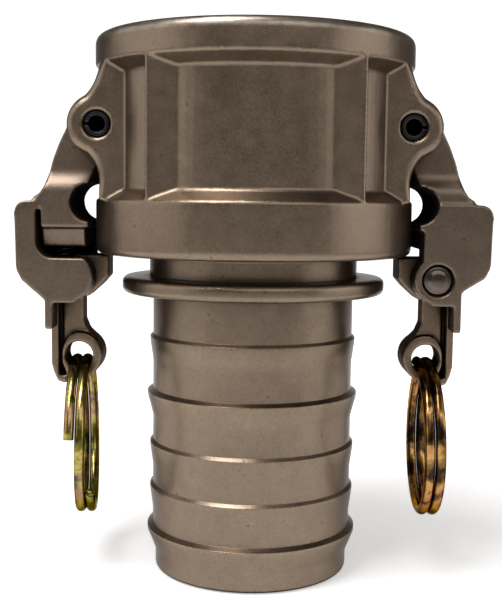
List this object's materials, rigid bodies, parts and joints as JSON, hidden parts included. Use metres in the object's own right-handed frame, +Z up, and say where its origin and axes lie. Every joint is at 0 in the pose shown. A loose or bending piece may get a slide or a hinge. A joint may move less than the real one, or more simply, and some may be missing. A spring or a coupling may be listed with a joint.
{
  "type": "camlock coupling",
  "caption": "Cast stainless cam-and-groove coupler with a barbed hose shank, hinged cam arms with sprung latches, a rubber gasket and split pull rings.",
  "frame": {"origin": "centre of the hose end's lower face, on the bore axis", "axes": "+Z up the bore towards the socket mouth, +X towards the right-hand arm, -Y towards the pictured side"},
  "size_m": [0.1174, 0.08, 0.1349],
  "materials": {
    "cast_stainless": "matte blasted casting",
    "arm_stainless": "matte blasted casting",
    "pin_steel": "dark satin",
    "latch_pin_steel": "satin",
    "spring_steel": "satin wire",
    "plated_ring": "yellow plated wire",
    "gasket_rubber": "matte black"
  },
  "bodies": {
    "coupler": {"coupler_body": "cast_stainless", "gasket": "gasket_rubber", "right_arm_pin": "pin_steel", "left_arm_pin": "pin_steel"},
    "right_arm": {"right_cam_arm": "arm_stainless", "right_latch_pin": "latch_pin_steel", "right_latch_spring": "spring_steel"},
    "right_latch": {"right_latch_lever": "arm_stainless"},
    "right_ring": {"right_pull_ring": "plated_ring"},
    "left_arm": {"left_cam_arm": "arm_stainless", "left_latch_pin": "latch_pin_steel", "left_latch_spring": "spring_steel"},
    "left_latch": {"left_latch_lever": "arm_stainless"},
    "left_ring": {"left_pull_ring": "plated_ring"}
  },
  "joints": [
    {"name": "right_arm_swing", "type": "hinge", "parent": "coupler", "child": "right_arm", "pos_m": [0.0377, 0, 0.1124], "axis": [0, -1, 0], "range_deg": [0, 105]},
    {"name": "right_latch_release", "type": "hinge", "parent": "right_arm", "child": "right_latch", "pos_m": [0.04545, 0, 0.0754], "axis": [0, -1, 0], "range_deg": [0, 18], "stiffness_Nm_per_rad": 0.15, "springref_deg": -11.46, "deforming": ["right_latch_spring"]},
    {"name": "right_ring_swing", "type": "hinge", "parent": "right_latch", "child": "right_ring", "pos_m": [0.0442, 0, 0.0549], "axis": [0, -1, 0], "range_deg": [-15, 90]},
    {"name": "left_arm_swing", "type": "hinge", "parent": "coupler", "child": "left_arm", "pos_m": [-0.0377, 0, 0.1124], "axis": [0, 1, 0], "range_deg": [0, 105]},
    {"name": "left_latch_release", "type": "hinge", "parent": "left_arm", "child": "left_latch", "pos_m": [-0.04545, 0, 0.0754], "axis": [0, 1, 0], "range_deg": [0, 18], "stiffness_Nm_per_rad": 0.15, "springref_deg": -11.46, "deforming": ["left_latch_spring"]},
    {"name": "left_ring_swing", "type": "hinge", "parent": "left_latch", "child": "left_ring", "pos_m": [-0.0442, 0, 0.0549], "axis": [0, 1, 0], "range_deg": [-15, 90]}
  ]
}
